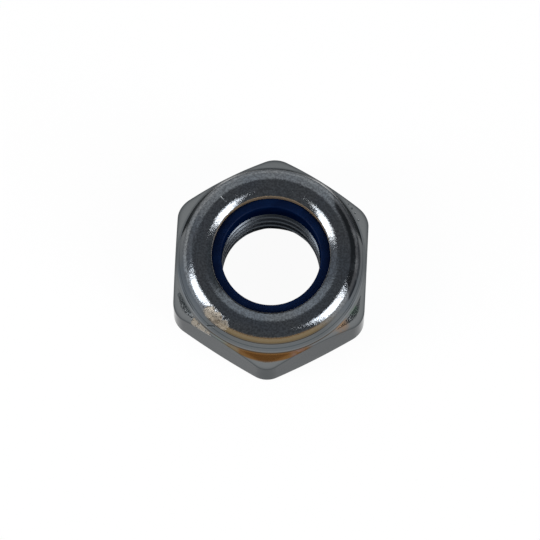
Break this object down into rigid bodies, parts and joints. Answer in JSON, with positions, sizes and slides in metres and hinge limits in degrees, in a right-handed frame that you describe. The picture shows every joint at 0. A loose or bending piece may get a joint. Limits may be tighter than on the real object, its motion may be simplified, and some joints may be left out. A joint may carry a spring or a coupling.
{
  "type": "nylon insert lock nut",
  "caption": "Hexagonal lock nut with a rolled collar that holds a nylon ring, which grips the bolt's thread.",
  "frame": {"origin": "centre of the bearing face", "axes": "+Z along the thread, from the bearing face to the nylon ring; +X normal to a flat; +Y through a corner"},
  "size_m": [0.013, 0.0146, 0.008],
  "materials": {
    "zinc_plated_steel": "bright zinc plating with a faint blue and yellow tint",
    "navy_nylon": "moulded, semi-gloss"
  },
  "bodies": {
    "root": {"nut_body": "zinc_plated_steel", "nylon_insert": "navy_nylon"}
  },
  "joints": []
}
